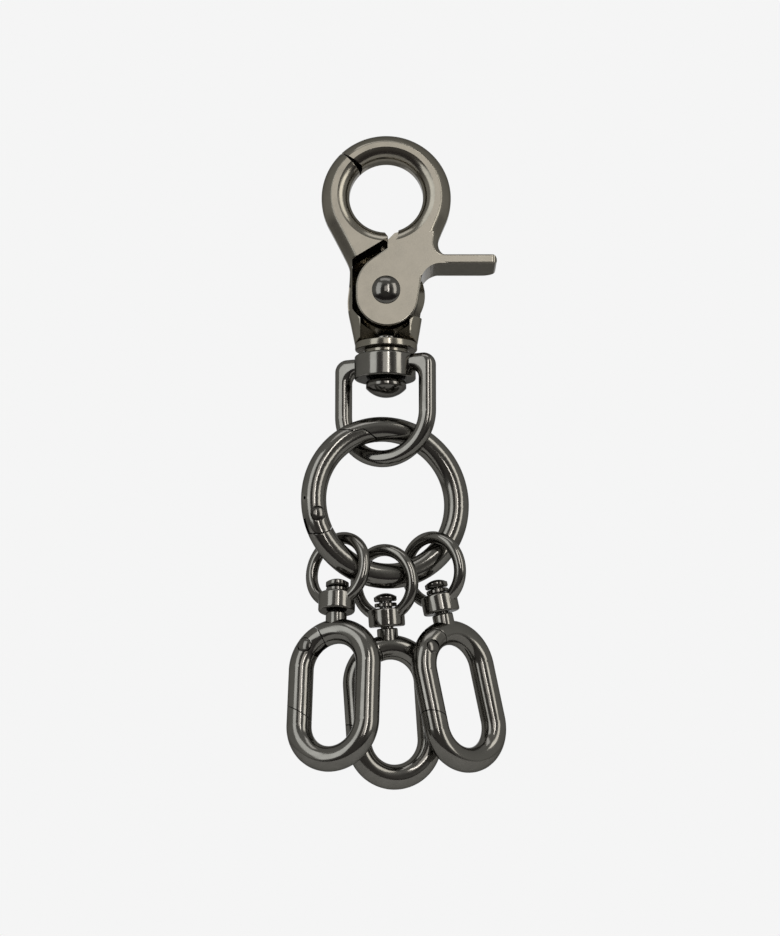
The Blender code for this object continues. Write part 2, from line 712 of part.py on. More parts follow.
def make_link(side, unit, turn):
    axis = add_empty(side + "_link_axis", unit, rotation=(0, 0, radians(turn)))
    points = [(across, 0, up) for across, up in arc((0, 0), link_radius, 0, 360, link_steps)[:-1]]
    mesh = wire_mesh(points, link_bar / 2, link_sides, closed=True)
    link = add_piece(side + "_link_ring", mesh, "gunmetal", parent=axis)
    collar = rod_mesh(link_collar_radius, link_collar_bottom, -link_collar_top)
    combine(link, "UNION", add_cutter(side + "_link_collar", collar, axis))
    bore = rod_mesh(post_radius + running_gap, link_collar_bottom - cut_overrun, head_bottom, small_steps)
    combine(link, "DIFFERENCE", add_cutter(side + "_link_bore", bore, axis))


def make_post(side, hook):
    washer = [(post_radius + running_gap, washer_bottom + washer_thickness),
              (washer_radius, washer_bottom + washer_thickness), (washer_radius, washer_bottom),
              (post_radius + running_gap, washer_bottom),
              (post_radius + running_gap, washer_bottom + washer_thickness)]
    add_piece(side + "_washer", turned_mesh(washer, rod_steps), "rivet_metal", parent=hook)
    foot = neck_top - post_reach
    profile = dome(post_head_radius, post_head_dome, head_bottom + post_head_side)
    profile += [(post_head_radius, head_bottom), (post_radius, head_bottom), (post_radius, foot), (0, foot)]
    add_piece(side + "_post", turned_mesh(profile, small_steps), "rivet_metal", parent=hook)


def make_hook(side, hook):
    middle = add_empty(side + "_oval_middle", hook, location=(0, 0, oval_middle))
    outline = arc((0, oval_half_straight), oval_half_width, 0, 180, oval_steps)
    outline += arc((0, -oval_half_straight), oval_half_width, 180, 360, oval_steps)
    points = [(across, 0, up) for across, up in outline]
    tube = wire_mesh(points, oval_bar / 2, bar_sides, closed=True)
    names = (side + "_hook_frame", side + "_hook_gate", side + "_gate_rivet")
    frame = make_gate(names, middle, tube, oval_gate_shape(), oval_bar)
    foot = oval_top - oval_bar / 2
    neck = [(0, neck_top), (neck_radius - neck_chamfer, neck_top), (neck_radius, neck_top - neck_chamfer),
            (neck_radius, foot), (0, foot)]
    combine(frame, "UNION", add_cutter(side + "_neck_blank", turned_mesh(neck, rod_steps), hook))
    foot = neck_top - post_reach - running_gap
    bore = rod_mesh(post_radius + running_gap, foot, neck_top + running_gap, small_steps)
    combine(frame, "DIFFERENCE", add_cutter(side + "_neck_bore", bore, hook))


def hanging_place(along, way, play_share):
    # The middle of a link ring: on the ring's bar, then off it within the link's play
    across, up = polar(ring_radius, degrees(along / ring_radius) - 90)
    on_bar = ring_place + Matrix.Rotation(radians(ring_turn), 3, "Z") @ Vector((across, 0, up))
    play = link_radius - link_bar / 2 - ring_bar / 2
    return on_bar + Vector(way).normalized() * play * play_share


def make_hangers():
    for side, (along, way, play_share, lean_side, lean_back, link_turn, hook_turn) in hangers.items():
        centre = hanging_place(along, way, play_share)
        lean = (radians(lean_back), radians(lean_side), 0)
        unit = add_empty(side + "_unit", location=centre, rotation=lean)
        make_link(side, unit, link_turn)
        hook = add_empty(side + "_post_axis", unit, rotation=(0, 0, radians(hook_turn)))
        make_post(side, hook)
        make_hook(side, hook)


def main():
    hole = add_cutter("eye_hole", make_hole_cutter(), location=PIVOT + Vector((0, 0, eye_rise + hole_lift)))
    make_snap_body(hole)
    make_trigger_lever(hole)
    make_lever_rivet()
    make_lever_spring()
    make_swivel_pin()
    make_swivel_bail()
    make_large_ring()
    make_hangers()


clear_scene()
parts = new_collection("key_ring")
cutters = new_collection("cutters")
main()
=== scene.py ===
import bpy
import bmesh
from math import cos, pi, radians, sin, sqrt
from mathutils import Matrix, Vector


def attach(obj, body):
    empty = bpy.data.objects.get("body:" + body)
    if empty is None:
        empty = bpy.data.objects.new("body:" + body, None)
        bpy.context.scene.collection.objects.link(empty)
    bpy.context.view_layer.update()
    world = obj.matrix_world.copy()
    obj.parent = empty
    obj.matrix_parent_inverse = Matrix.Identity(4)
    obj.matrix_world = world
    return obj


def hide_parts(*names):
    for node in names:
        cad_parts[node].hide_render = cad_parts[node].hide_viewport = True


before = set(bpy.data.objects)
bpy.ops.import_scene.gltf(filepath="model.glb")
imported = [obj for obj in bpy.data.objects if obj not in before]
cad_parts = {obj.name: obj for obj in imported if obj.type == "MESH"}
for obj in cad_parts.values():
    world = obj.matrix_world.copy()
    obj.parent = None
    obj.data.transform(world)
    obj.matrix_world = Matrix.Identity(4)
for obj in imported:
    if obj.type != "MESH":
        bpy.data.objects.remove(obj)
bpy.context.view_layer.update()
scene = bpy.context.scene
mm = 0.001            # pieces are drawn in millimetres and scaled once
tiny = 0.003          # points closer than this are one point
seam = 0.3            # gap between pieces that turn on or meet each other
fineSeam = 0.12       # seam between the webs of the snap's two halves
flush = 0.03          # step between faces that would else lie in one plane
overrun = 2           # how far a cutting tool reaches past what it cuts


def polarPoint(radius, angle, centre=(0, 0)):
    return (centre[0] + radius * cos(radians(angle)), centre[1] + radius * sin(radians(angle)))


def arcPoints(centre, radius, start, end, steps):
    return [polarPoint(radius, start + (end - start) * step / steps, centre) for step in range(steps + 1)]


def boxPoints(left, right, bottom, top):
    return [(left, bottom), (right, bottom), (right, top), (left, top)]


def mirrored(profile):
    return [(radius, -height) for radius, height in reversed(profile)]


def smoothPoints(points, rounds=2):
    # cuts the corners of an open line, and keeps its two ends
    for _ in range(rounds):
        made = [points[0]]
        for first, second in zip(points, points[1:]):
            for share in (0.25, 0.75):
                made.append(tuple(a + (b - a) * share for a, b in zip(first, second)))
        made.append(points[-1])
        points = made
    return points


def evaluatedMesh(holder):
    graph = bpy.context.evaluated_depsgraph_get()
    mesh = bpy.data.meshes.new_from_object(holder.evaluated_get(graph))
    bpy.data.objects.remove(holder)
    return mesh


def tidyMesh(mesh):
    form = bmesh.new()
    form.from_mesh(mesh)
    bmesh.ops.remove_doubles(form, verts=form.verts, dist=tiny)
    bmesh.ops.recalc_face_normals(form, faces=form.faces)
    form.to_mesh(mesh)
    form.free()
    return mesh


def holderOf(data):
    holder = bpy.data.objects.new("holder", data)
    scene.collection.objects.link(holder)
    return holder


def plateMesh(outlines, front, back, rounding=0.0, rounds=5, liesFlat=False, flank=None, flankDepth=0.0):
    # flank is the section of a shaped edge, as shares of its width and depth, from the side to the face
    curve = bpy.data.curves.new("outline", "CURVE")
    curve.dimensions = "2D"
    curve.fill_mode = "BOTH"
    curve.bevel_depth = rounding
    curve.bevel_resolution = rounds
    curve.offset = -rounding
    stretch = 1.0
    if flank:
        stretch = flankDepth / rounding
        curve.bevel_mode = "PROFILE"
        for share in flank:
            curve.bevel_profile.points.add(*share)
        curve.bevel_profile.update()
    curve.extrude = (back - front) / 2 / stretch - rounding
    for outline in outlines:
        spline = curve.splines.new("POLY")
        spline.points.add(len(outline) - 1)
        for point, (across, up) in zip(spline.points, outline):
            point.co = (across, up, 0, 1)
        spline.use_cyclic_u = True
    mesh = tidyMesh(evaluatedMesh(holderOf(curve)))
    mesh.transform(Matrix.Diagonal((1, 1, stretch, 1)))
    middle = (front + back) / 2
    if liesFlat:
        mesh.transform(Matrix.Translation((0, 0, middle)))
    else:
        mesh.transform(Matrix.Translation((0, middle, 0)) @ Matrix.Rotation(pi / 2, 4, "X"))
        for point in mesh.vertices:       # faces that share a plane share it exactly
            for plane in (front, back):
                if abs(point.co.y - plane) < tiny:
                    point.co.y = plane
    return mesh


def wireMesh(points, radius, sides, closed=False):
    curve = bpy.data.curves.new("wire", "CURVE")
    curve.dimensions = "3D"
    curve.bevel_depth = radius
    curve.bevel_resolution = sides
    curve.use_fill_caps = True
    spline = curve.splines.new("POLY")
    spline.points.add(len(points) - 1)
    for point, spot in zip(spline.points, points):
        point.co = (*spot, 1)
    spline.use_cyclic_u = closed
    return tidyMesh(evaluatedMesh(holderOf(curve)))


def turnedMesh(profile, steps, alongY=False):
    mesh = bpy.data.meshes.new("turned")
    points = [(radius, 0, height) for radius, height in profile]
    mesh.from_pydata(points, [(n, n + 1) for n in range(len(points) - 1)], [])
    holder = holderOf(mesh)
    screw = holder.modifiers.new("turn", "SCREW")
    screw.steps = steps
    screw.render_steps = steps
    screw.use_merge_vertices = True
    screw.merge_threshold = tiny
    made = tidyMesh(evaluatedMesh(holder))
    if alongY:
        made.transform(Matrix.Rotation(pi / 2, 4, "X"))
    return made


def rodMesh(radius, bottom, top, steps, alongY=False):
    return turnedMesh([(0, top), (radius, top), (radius, bottom), (0, bottom)], steps, alongY)


def roundedProfile(corners, radius, steps=4):
    # a turned profile whose corners between its two ends are rounded, each over less than half of its sides
    made = [corners[0]]
    for before, corner, after in zip(corners, corners[1:], corners[2:]):
        here = Vector(corner)
        toBefore = Vector(before) - here
        toAfter = Vector(after) - here
        reach = min(radius, 0.45 * min(toBefore.length, toAfter.length))
        start = here + toBefore.normalized() * reach
        end = here + toAfter.normalized() * reach
        for step in range(steps + 1):
            share = step / steps
            point = start * (1 - share) ** 2 + here * 2 * share * (1 - share) + end * share ** 2
            made.append((point.x, point.y))
    made.append(corners[-1])
    return made


def domeProfile(radius, height, base, steps=14):
    ball = (radius * radius + height * height) / (2 * height)
    points = []
    for step in range(steps + 1):
        across = radius * sin(pi / 2 * step / steps)
        points.append((across, base + height - ball + sqrt(ball * ball - across * across)))
    return points


def carve(mesh, cuts, edge=0.0, angle=38):
    # joins or cuts a list of meshes, then softens the sharp edges that are left
    holder = holderOf(mesh)
    tools = []
    for operation, tool in cuts:
        toolHolder = holderOf(tool)
        tools.append(toolHolder)
        cut = holder.modifiers.new("cut", "BOOLEAN")
        cut.operation = operation
        cut.solver = "EXACT"
        cut.object = toolHolder
    if edge:
        weld = holder.modifiers.new("weld", "WELD")
        weld.merge_threshold = tiny
        plain = holder.modifiers.new("plain", "DECIMATE")        # one face for each flat
        plain.decimate_type = "DISSOLVE"
        plain.angle_limit = radians(0.2)
        bevel = holder.modifiers.new("edge", "BEVEL")
        bevel.width = edge
        bevel.segments = 3
        bevel.limit_method = "ANGLE"
        bevel.angle_limit = radians(angle)
        bevel.harden_normals = False
        bevel.miter_outer = "MITER_ARC"
    made = evaluatedMesh(holder)
    for tool in tools:
        bpy.data.objects.remove(tool)
    return made


def newGroup(name, inputs, outputs):
    group = bpy.data.node_groups.new(name, "ShaderNodeTree")
    for label, kind, value in inputs:
        socket = group.interface.new_socket(label, in_out="INPUT", socket_type=kind)
        socket.default_value = value
    for label, kind in outputs:
        group.interface.new_socket(label, in_out="OUTPUT", socket_type=kind)
    return group, group.nodes.new("NodeGroupInput"), group.nodes.new("NodeGroupOutput")


def addNode(tree, kind, values=None, **settings):
    node = tree.nodes.new(kind)
    for key, value in settings.items():
        setattr(node, key, value)
    for socket, value in (values or {}).items():
        node.inputs[socket].default_value = value
    return node


def buildCastSkin():
    # slow waves of the polished casting and its fine pores, as a height, and a mask of duller patches
    group, given, out = newGroup("castSkin",
                                 [("Wave Size", "NodeSocketFloat", 260.0),
                                  ("Pore Size", "NodeSocketFloat", 2600.0)],
                                 [("Height", "NodeSocketFloat"), ("Patches", "NodeSocketFloat")])
    spot = addNode(group, "ShaderNodeTexCoord")
    wave = addNode(group, "ShaderNodeTexNoise", {"Detail": 1.5})
    pore = addNode(group, "ShaderNodeTexNoise", {"Detail": 3.0})
    patches = addNode(group, "ShaderNodeTexNoise", {"Detail": 4.0, "Scale": 420.0})
    mixed = addNode(group, "ShaderNodeMath", {1: 0.12}, operation="MULTIPLY_ADD")      # pores are shallow
    spread = addNode(group, "ShaderNodeMapRange", {"From Min": 0.35, "From Max": 0.70})
    link = group.links.new
    for noise in (wave, pore, patches):
        link(spot.outputs["Object"], noise.inputs["Vector"])
    link(given.outputs["Wave Size"], wave.inputs["Scale"])
    link(given.outputs["Pore Size"], pore.inputs["Scale"])
    link(pore.outputs["Fac"], mixed.inputs[0])
    link(wave.outputs["Fac"], mixed.inputs[2])
    link(patches.outputs["Fac"], spread.inputs["Value"])
    link(mixed.outputs[0], out.inputs["Height"])
    link(spread.outputs["Result"], out.inputs["Patches"])
    return group


def buildWearAndCornerShade():
    # pale rubbed edges, and painted shade that darkens concave corners, from how sharply the surface turns
    group, given, out = newGroup("wearAndCornerShade",
                                 [("Base", "NodeSocketColor", (0.3, 0.3, 0.3, 1)),
                                  ("Worn", "NodeSocketColor", (0.6, 0.6, 0.6, 1)),
                                  ("Corner Shade Colour", "NodeSocketColor", (0.02, 0.02, 0.02, 1)),
                                  ("Wear", "NodeSocketFloat", 0.5), ("Corner Shade", "NodeSocketFloat", 0.5)],
                                 [("Colour", "NodeSocketColor"), ("Edge", "NodeSocketFloat"),
                                  ("Corner", "NodeSocketFloat")])
    shape = addNode(group, "ShaderNodeNewGeometry")
    spot = addNode(group, "ShaderNodeTexCoord")
    rubbed = addNode(group, "ShaderNodeTexNoise", {"Scale": 900.0, "Detail": 3.0})
    edge = addNode(group, "ShaderNodeMapRange", {"From Min": 0.52, "From Max": 0.60})
    # mask of concave corners, where painted shade darkens the colour
    corner = addNode(group, "ShaderNodeMapRange", {"From Min": 0.48, "From Max": 0.40})
    broken = addNode(group, "ShaderNodeMath", operation="MULTIPLY")
    wearAmount = addNode(group, "ShaderNodeMath", operation="MULTIPLY")
    cornerShadeAmount = addNode(group, "ShaderNodeMath", operation="MULTIPLY")
    pale = addNode(group, "ShaderNodeMix", data_type="RGBA")
    dark = addNode(group, "ShaderNodeMix", data_type="RGBA")
    link = group.links.new
    link(spot.outputs["Object"], rubbed.inputs["Vector"])
    link(shape.outputs["Pointiness"], edge.inputs["Value"])
    link(shape.outputs["Pointiness"], corner.inputs["Value"])
    link(edge.outputs["Result"], broken.inputs[0])
    link(rubbed.outputs["Fac"], broken.inputs[1])
    link(broken.outputs[0], wearAmount.inputs[0])
    link(given.outputs["Wear"], wearAmount.inputs[1])
    link(corner.outputs["Result"], cornerShadeAmount.inputs[0])
    link(given.outputs["Corner Shade"], cornerShadeAmount.inputs[1])
    link(wearAmount.outputs[0], pale.inputs["Factor"])
    link(given.outputs["Base"], pale.inputs["A"])
    link(given.outputs["Worn"], pale.inputs["B"])
    # painted shade: concave corners are mixed towards a near-black colour
    link(cornerShadeAmount.outputs[0], dark.inputs["Factor"])
    link(pale.outputs["Result"], dark.inputs["A"])
    link(given.outputs["Corner Shade Colour"], dark.inputs["B"])
    link(dark.outputs["Result"], out.inputs["Colour"])
    link(wearAmount.outputs[0], out.inputs["Edge"])
    link(cornerShadeAmount.outputs[0], out.inputs["Corner"])
    return group


castSkin = buildCastSkin()
wearAndCornerShade = buildWearAndCornerShade()

metalFinishes = {
    # colours, tint at grazing angles, roughness from smooth to dull, the skin's height and scale, wear,
    # painted shade in concave corners
    "gunmetalPlating": dict(base=(0.245, 0.236, 0.220), deep=(0.215, 0.207, 0.192), worn=(0.52, 0.50, 0.47),
                            tint=0.45, smooth=0.11, dull=0.17, bump=0.05, wave=260, wear=0.45, cornerShade=0.55),
    "polishedFace": dict(base=(0.330, 0.306, 0.262), deep=(0.300, 0.280, 0.240), worn=(0.58, 0.56, 0.52),
                         tint=0.45, smooth=0.14, dull=0.21, bump=0.045, wave=220, wear=0.0, cornerShade=0.0),
    "darkRivet": dict(base=(0.200, 0.192, 0.180), deep=(0.165, 0.158, 0.148), worn=(0.50, 0.48, 0.45),
                      tint=0.45, smooth=0.10, dull=0.17, bump=0.06, wave=420, wear=0.40, cornerShade=0.50),
    "springWire": dict(base=(0.40, 0.40, 0.39), deep=(0.34, 0.34, 0.33), worn=(0.60, 0.60, 0.59),
                       tint=0.6, smooth=0.22, dull=0.32, bump=0.03, wave=900, wear=0.3, cornerShade=0.6),
}


def newMaterial(name, values):
    material = bpy.data.materials.new(name)
    material.use_nodes = True
    shader = material.node_tree.nodes["Principled BSDF"]
    for socket, value in values.items():
        shader.inputs[socket].default_value = value
    return material, material.node_tree, shader


def buildMetal(name, finish):
    tint = finish["tint"]
    metal, tree, shader = newMaterial(name, {"Metallic": 1.0, "Specular Tint": (tint, tint, tint, 1)})
    skin = addNode(tree, "ShaderNodeGroup", node_tree=castSkin)
    skin.inputs["Wave Size"].default_value = finish["wave"]
    # this group paints worn edges, and painted shade in concave corners
    wear = addNode(tree, "ShaderNodeGroup", node_tree=wearAndCornerShade)
    wear.inputs["Worn"].default_value = (*finish["worn"], 1)
    wear.inputs["Wear"].default_value = finish["wear"]
    # how strongly concave corners are darkened with painted shade
    wear.inputs["Corner Shade"].default_value = finish["cornerShade"]
    tone = addNode(tree, "ShaderNodeMix", {"A": (*finish["base"], 1), "B": (*finish["deep"], 1)},
                   data_type="RGBA")
    gloss = addNode(tree, "ShaderNodeMapRange", {"To Min": finish["smooth"], "To Max": finish["dull"]})
    rough = addNode(tree, "ShaderNodeMath", {1: 0.25}, operation="MULTIPLY_ADD")
    bump = addNode(tree, "ShaderNodeBump", {"Strength": finish["bump"], "Distance": 0.0006})
    link = tree.links.new
    link(skin.outputs["Patches"], tone.inputs["Factor"])
    link(tone.outputs["Result"], wear.inputs["Base"])
    link(wear.outputs["Colour"], shader.inputs["Base Color"])
    link(skin.outputs["Patches"], gloss.inputs["Value"])
    link(wear.outputs["Corner"], rough.inputs[0])
    link(gloss.outputs["Result"], rough.inputs[2])
    link(rough.outputs[0], shader.inputs["Roughness"])
    link(skin.outputs["Height"], bump.inputs["Height"])
    link(bump.outputs["Normal"], shader.inputs["Normal"])
    return metal


metals = {name: buildMetal(name, finish) for name, finish in metalFinishes.items()}
print("metals ready")


def keepFlat(mesh):
    # the flat front and back don't share their normals with the roundings round them
    form = bmesh.new()
    form.from_mesh(mesh)
    square = 0.9999
    for edge in form.edges:
        flats = {abs(face.normal.y) > square for face in edge.link_faces}
        if len(flats) > 1:
            edge.smooth = False
    form.to_mesh(mesh)
    form.free()


def place(name, mesh, metal, body, node, matrix=Matrix.Identity(4), smoothAngle=40, flatFaces=False):
    # one finished piece, in place of the CAD node of the same part
    mesh.transform(Matrix.Scale(mm, 4) @ matrix)
    mesh.materials.clear()
    mesh.materials.append(metals[metal])
    for face in mesh.polygons:
        face.material_index = 0
    mesh.shade_smooth()
    mesh.set_sharp_from_angle(angle=radians(smoothAngle))
    if flatFaces:
        keepFlat(mesh)
    holder = holderOf(mesh)
    steady = holder.modifiers.new("steady", "WEIGHTED_NORMAL")    # flat faces stay flat beside soft edges
    steady.keep_sharp = True
    steady.weight = 100
    mesh = evaluatedMesh(holder)
    piece = bpy.data.objects.new(name, mesh)
    mesh.name = name
    scene.collection.objects.link(piece)
    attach(piece, body)
    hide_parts(node)


snap = {
    "depth": 7.6, "pivotDrop": 28.45, "eyeRise": 20.5, "holeLift": 0.2,
    "boreRadius": 7.75, "barWidth": 5.85,
    "flankWidth": 2.2, "flankDepth": 2.95,              # sloped outer side of the eye, with a crisp ridge
    "flank": ((0.985, 0.08), (0.932, 0.191), (0.818, 0.401), (0.659, 0.591), (0.477, 0.753), (0.273, 0.890),
              (0.075, 0.985), (0.045, 0.996), (0.018, 1.0)),
    "holeWidth": 2.45, "holeDepth": 2.75, "holeStart": 22,
    "mouthAngle": 134.5, "mouthGap": 0.8, "webCorner": 0.5, "webAngle": 86,
    "eyeStart": 318, "neck": 211,                       # degrees round the eye, from its lower right
    "discRadius": 8.4, "discSide": (-27, 42),
    "pocketRadius": 8.0, "pocketLeft": 7.1, "pocketEnds": (-44, -152),
    "wall": ((-9.6, 9.5), (-8.3, 6.9), (-7.6, 5.2), (-7.6, 3.6), (-7.75, 1.2), (-8.1, -1.8), (-7.9, -4.4),
             (-7.35, -6.8)),
    "ears": ((7.0, -8.2), (7.45, -5.4)),
    "slopeEnd": (-7.1, 6.7), "slopeStart": (0.5, 11.42),
    "flangeRadius": 6.5, "flangeTop": -11.0, "flangeBottom": -12.2, "flangeRounding": 0.35,
    "seatRadius": 4.5, "seatHeight": 0.9, "pinBore": 2.3, "rivetBore": 1.9,
    "recess": (-5.4, 4.9, -10.1, 6.8),                  # left, right, floor, depth
    "recessTop": (0.3, -5.5),                           # depth and height where its sloped back ends
    "window": (-4.0, 1.5, -1.8, -0.4),                  # bottom, top, front, back
    "groove": (-6.1, 0.8),                              # left end and half height
    "coilRoom": 4.5, "coilBack": 1.2,                   # radius and depth of the spring's room
    "notch": ((-0.5, 14.0), (-0.5, 13.1), (0.28, 11.65), (1.7, 13.1), (1.7, 14.0)),   # where the webs meet
    "pocketFloor": ((6.2, 0.15), (10.4, 3.5)),          # radius and depth where its slope starts and ends
    "sink": 0.3,                                        # how far joined forms and rooms run into each other
    "edge": 0.13,
}
lever = {
    "roundCentre": (0.2, -1.2), "roundRadius": 6.5, "roundSpan": (180, 350),
    "shoulderCentre": (1.7, 0.3), "shoulderRadius": 8.05, "shoulderSpan": (122, 176),
    "plateRounding": 0.35, "nose": ((1.2, 9.8), (2.4, 11.2), (2.6, 14.0)), "coilFront": 2.4,
    "tabBottom": 5.74, "tabThickness": 1.9, "tabReach": 23.1, "tabBack": 7.2,
    "tabFrontCorner": 1.0, "tabBackCorner": 3.0, "tabRounding": 0.3, "tabUpperEnd": 1.1, "tabLowerEnd": 0.7,
    "underFillet": 4.2, "upperFillet": 2.6, "armEdge": 7.2, "armShoulder": 9.9, "tabRoot": 12.9,
    "armSide": ((12.1, 14.2), (11.5, 12.8), (10.95, 11.4), (10.85, 10.2), (11.2, 9.1), (12.0, 8.3),
                (13.2, 7.8)),
    "eyeStart": -24, "eyeEnd": 190, "noseAngle": 200, "blankBottom": 1.0, "blankReach": 17.5,
    "clearReach": 24.6,                                 # how far right the blank is cut away
    "shelfLow": 1.4, "shelfFront": 0.5,                 # the shelf joins the arm to the tab
    # how far the shelf ends past the arm's edge, and short of the tab's root, top and back
    "shelfEnds": (0.4, 0.3, 0.25, 0.45),
    "wedge": (12.3, 6.4, 13.0, 1.4, 0.3),               # outer and inner radius, degrees, depth, overlap
    "edge": 0.10,
}
atPivot = Matrix.Translation((0, 0, -snap["pivotDrop"]))
halfDepth = snap["depth"] / 2
eyeOuter = snap["boreRadius"] + snap["barWidth"]
eyeCentre = (0, snap["eyeRise"])
eyeReach = eyeOuter + overrun
flankRounds = 18
castingSmooth = 18    # degrees between faces that still shade as one
turnedSmooth = 50


def castBlank(outline):
    return plateMesh([outline], -halfDepth, halfDepth, snap["flankWidth"], flankRounds, False, snap["flank"],
                     snap["flankDepth"])


def through(outline, beyond=0):
    # a cutting tool that passes right through the snap
    return plateMesh([outline], -eyeReach - beyond, eyeReach + beyond)


def mouthEnd(gap):
    across, up = polarPoint(eyeReach + overrun, snap["mouthAngle"] + gap)
    return (across, up + snap["eyeRise"])


def eyeHole():
    reach = snap["boreRadius"]
    start = radians(snap["holeStart"])
    across = snap["holeWidth"] / (1 - sin(start))
    deep = snap["holeDepth"] / cos(start)
    outside = start - radians(1)        # the hole's slope starts just outside the face, for a clean rim
    profile = []
    steps = 14
    for step in range(steps + 1):
        angle = outside + (pi / 2 - outside) * step / steps
        profile.append((reach + across * (1 - sin(angle)), halfDepth - deep * (cos(start) - cos(angle))))
    rim = profile[0][0]
    top = halfDepth + overrun
    upper = [(0, top), (rim, top)] + profile
    mesh = turnedMesh(upper + mirrored(upper), 144, alongY=True)
    mesh.transform(Matrix.Translation((0, 0, snap["eyeRise"] + snap["holeLift"])))
    return mesh


def bodyRoom():
    # the room of the lever's half of the eye, above the hub
    corner = eyeReach + overrun
    high = snap["eyeRise"] + eyeReach
    seamEnd = mouthEnd(snap["mouthGap"])
    room = [eyeCentre, seamEnd, (seamEnd[0], high), (corner, high), (corner, 0)]
    room += arcPoints((0, 0), snap["discRadius"], 0, snap["webAngle"], 48)
    return through(room + [(snap["webCorner"], snap["discRadius"])])


def platePocket():
    # the room behind the lever's round plate, with a floor that slopes down towards its rim
    radius = snap["pocketRadius"]
    left = -snap["pocketLeft"]
    mouth, end = snap["pocketEnds"]
    slopeStart = (snap["slopeStart"][0] + flush, snap["slopeStart"][1])
    high = snap["eyeRise"] + flush
    wide = eyeReach + overrun / 2
    outline = [point for point in arcPoints((0, 0), radius, mouth, end, 60) if point[0] > left]
    outline += [(left, -sqrt(radius ** 2 - left ** 2)), snap["slopeEnd"], slopeStart, (slopeStart[0], high),
                (wide, high), (wide, polarPoint(radius, mouth)[1])]
    (inner, shallow), (outer, deep) = snap["pocketFloor"]
    rim = 3 * eyeReach
    floor = turnedMesh([(0, eyeReach), (rim, eyeReach), (rim, -deep), (outer, -deep), (inner, -shallow),
                        (0, -shallow)], 128, True)
    return carve(through(outline), [("INTERSECT", floor)])


def pinRecess():
    left, right, floor, depth = snap["recess"]
    back, high = snap["recessTop"]
    side = [(depth - halfDepth, floor), (back, high), (-eyeReach, high), (-eyeReach, floor)]
    mesh = plateMesh([side], -right, -left)
    mesh.transform(Matrix.Rotation(pi / 2, 4, "Z"))
    return mesh


def snapBody():
    outline = arcPoints(eyeCentre, eyeOuter, snap["eyeStart"], 360 + snap["neck"], 120)
    outline += smoothPoints(list(snap["wall"]))[:-1]
    outline += [(-snap["flangeRadius"], snap["flangeTop"]), (snap["flangeRadius"], snap["flangeTop"])]
    outline += list(snap["ears"]) + arcPoints((0, 0), snap["discRadius"], *snap["discSide"], 24)
    high = snap["flangeTop"] + snap["sink"]
    low = snap["flangeBottom"]
    seatLow = low - snap["seatHeight"]
    flange = [(0, high), (snap["flangeRadius"], high), (snap["flangeRadius"], low), (snap["seatRadius"], low),
              (snap["seatRadius"], seatLow), (0, seatLow)]
    flange = turnedMesh(roundedProfile(flange, snap["flangeRounding"]), 96)
    bottom, top, front, back = snap["window"]
    window = boxPoints(-eyeReach, snap["sink"] - snap["pocketLeft"], bottom, top)
    left, half = snap["groove"]
    groove = boxPoints(left, 0, -half, half)
    pinBore = rodMesh(snap["pinBore"], -eyeReach, snap["recess"][2] + seam / 2, 50)
    cuts = [
        ("UNION", flange),
        ("DIFFERENCE", eyeHole()),
        ("DIFFERENCE", bodyRoom()),
        ("DIFFERENCE", through(snap["notch"], overrun / 2)),
        ("DIFFERENCE", platePocket()),
        ("DIFFERENCE", pinRecess()),
        ("DIFFERENCE", pinBore),
        ("DIFFERENCE", plateMesh([window], front, back)),
        ("DIFFERENCE", plateMesh([groove], -seam - flush, snap["coilBack"] - flush)),
        ("DIFFERENCE", rodMesh(snap["coilRoom"], -snap["coilBack"], seam, 64, True)),
        ("DIFFERENCE", rodMesh(snap["rivetBore"], -eyeReach, eyeReach, 48, True)),
    ]
    mesh = carve(castBlank(outline), cuts, snap["edge"])
    place("snapBodyCasting", mesh, "polishedFace", "snap", "snap_body", atPivot, castingSmooth, True)


def mouthWedge():
    # the tip of the lever is cut back towards the hole, most at the front
    outer, inner, turn, deep, overlap = lever["wedge"]
    seamAngle = snap["mouthAngle"] - snap["mouthGap"] + overlap
    corners = []
    for depth, angles in ((-halfDepth - overrun / 2, (seamAngle, seamAngle - turn)), (deep, (seamAngle,))):
        corners += [(inner, angle, depth) for angle in angles] + [(outer, seamAngle, depth)]
    form = bmesh.new()
    for radius, angle, depth in corners:
        across, up = polarPoint(radius, angle, eyeCentre)
        form.verts.new((across, depth, up))
    bmesh.ops.convex_hull(form, input=form.verts)
    mesh = bpy.data.meshes.new("wedge")
    form.to_mesh(mesh)
    form.free()
    return tidyMesh(mesh)


def fingerTab(bottom, top):
    # seen from above, then cut to its rounded end as seen from the front
    front = lever["tabFrontCorner"]
    back = lever["tabBackCorner"]
    reach = lever["tabReach"]
    root = lever["armEdge"] + lever["tabThickness"]
    outline = arcPoints((reach - front, front - halfDepth), front, -90, 0, 10)
    outline += arcPoints((reach - back, lever["tabBack"] - back), back, 0, 90, 16)
    outline += [(lever["armEdge"] + back, lever["tabBack"]), (root, halfDepth), (root, -halfDepth)]
    upper = lever["tabUpperEnd"]
    lower = lever["tabLowerEnd"]
    end = arcPoints((reach - lower, bottom + lower), lower, -90, 0, 8)
    end += arcPoints((reach - upper, top - upper), upper, 0, 90, 12)
    tab = plateMesh([outline], bottom, top, lever["tabRounding"], 5, True)
    return carve(tab, [("INTERSECT", through(end + [(0, top), (0, bottom)]))])


